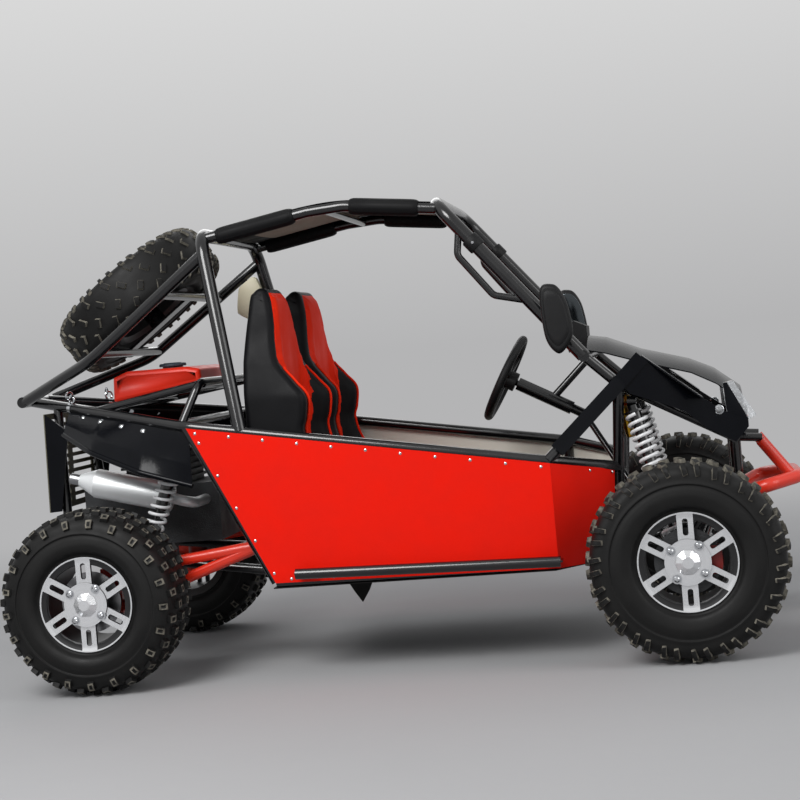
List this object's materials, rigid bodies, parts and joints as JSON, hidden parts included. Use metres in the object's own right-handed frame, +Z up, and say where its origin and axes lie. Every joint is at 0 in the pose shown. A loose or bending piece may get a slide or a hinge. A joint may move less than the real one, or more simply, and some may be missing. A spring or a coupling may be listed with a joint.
{
  "type": "two-seat off-road buggy",
  "caption": "Two-seat tube-frame off-road buggy with a canvas roof, bucket seats, open engine bay, spare wheel rack and steered front wheels.",
  "frame": {"origin": "on the ground under the middle of the bounding box", "axes": "+X forward, +Y to the vehicle's left, +Z up"},
  "size_m": [2.5089, 1.404, 1.4362],
  "materials": {
    "frame_black": "gloss black powder coat on steel tube",
    "panel_red": "gloss red paint on sheet steel",
    "arm_red": "gloss red paint on steel tube",
    "floor_steel": "black paint on sheet steel",
    "rubber": "black tyre rubber",
    "alloy": "machined cast aluminium",
    "steel": "bare steel",
    "cast": "sand-cast aluminium",
    "seat_cover": "black vinyl with red inserts",
    "canvas": "black canvas",
    "tank_red": "red moulded plastic",
    "fender_black": "gloss black moulded plastic",
    "trim_black": "matte black plastic",
    "bottle_cream": "translucent cream plastic",
    "lamp_clear": "clear lamp lens",
    "spring_grey": "pale grey coat on spring steel",
    "cap_blue": "steel-blue plastic cap",
    "grille_khaki": "khaki coat on expanded metal"
  },
  "bodies": {
    "chassis": {"side_rails": "frame_black", "floor_frame": "frame_black", "main_hoop": "frame_black", "front_hoop": "frame_black", "roof_rails": "frame_black", "front_frame": "frame_black", "engine_cage": "frame_black", "spare_rack": "frame_black", "floor_pan": "floor_steel", "side_panels": "panel_red", "step_bars": "frame_black", "roof_canvas": "canvas", "seat_right": "seat_cover", "seat_left": "seat_cover", "hood": "fender_black", "front_fenders": "fender_black", "rear_fenders": "fender_black", "rear_grille": "grille_khaki", "headlamps": "lamp_clear", "bumper": "arm_red", "front_arms": "frame_black", "rear_arms": "arm_red", "dampers": "steel", "springs": "spring_grey", "half_shafts": "steel", "engine": "cast", "muffler": "steel", "fuel_tank": "tank_red", "fuel_cap": "cap_blue", "overflow_bottle": "bottle_cream", "steering_column": "frame_black", "instrument_pod": "trim_black", "pedals": "frame_black", "mirrors": "trim_black", "spare_tyre": "rubber", "spare_rim": "alloy"},
    "knuckle_left": {"knuckle_left": "steel"},
    "knuckle_right": {"knuckle_right": "steel"},
    "steering_wheel": {"steering_wheel": "trim_black"},
    "steering_rack": {"tie_rods": "steel"},
    "wheel_fr": {"tyre_fr": "rubber", "rim_fr": "alloy"},
    "wheel_fl": {"tyre_fl": "rubber", "rim_fl": "alloy"},
    "wheel_rr": {"tyre_rr": "rubber", "rim_rr": "alloy"},
    "wheel_rl": {"tyre_rl": "rubber", "rim_rl": "alloy"}
  },
  "joints": [
    {"name": "steer_left", "type": "hinge", "parent": "chassis", "child": "knuckle_left", "pos_m": [0.8785, 0.513, 0.292], "axis": [0, 0, 1], "range_deg": [-30, 30]},
    {"name": "steer_right", "type": "hinge", "parent": "chassis", "child": "knuckle_right", "pos_m": [0.8785, -0.513, 0.292], "axis": [0, 0, 1], "range_deg": [-30, 30]},
    {"name": "steering_wheel_turn", "type": "hinge", "parent": "chassis", "child": "steering_wheel", "pos_m": [0.3205, 0.25, 0.832], "axis": [-0.8746, 0, 0.4848], "range_deg": [-270, 270]},
    {"name": "rack_slide", "type": "slide", "parent": "chassis", "child": "steering_rack", "axis": [0, 1, 0], "range_m": [-0.055, 0.055]},
    {"name": "spin_fl", "type": "hinge", "parent": "knuckle_left", "child": "wheel_fl", "pos_m": [0.8785, 0.613, 0.292], "axis": [0, 1, 0], "continuous": true},
    {"name": "spin_fr", "type": "hinge", "parent": "knuckle_right", "child": "wheel_fr", "pos_m": [0.8785, -0.613, 0.292], "axis": [0, 1, 0], "continuous": true},
    {"name": "spin_rl", "type": "hinge", "parent": "chassis", "child": "wheel_rl", "pos_m": [-0.9015, 0.561, 0.2795], "axis": [0, 1, 0], "continuous": true},
    {"name": "spin_rr", "type": "hinge", "parent": "chassis", "child": "wheel_rr", "pos_m": [-0.9015, -0.561, 0.2795], "axis": [0, 1, 0], "continuous": true}
  ],
  "couplings": [
    {"joint": "steer_right", "follows": "steer_left", "ratio": 1},
    {"joint": "steering_wheel_turn", "follows": "steer_left", "ratio": 9},
    {"joint": "rack_slide", "follows": "steer_left", "m_per_rad": -0.105}
  ]
}
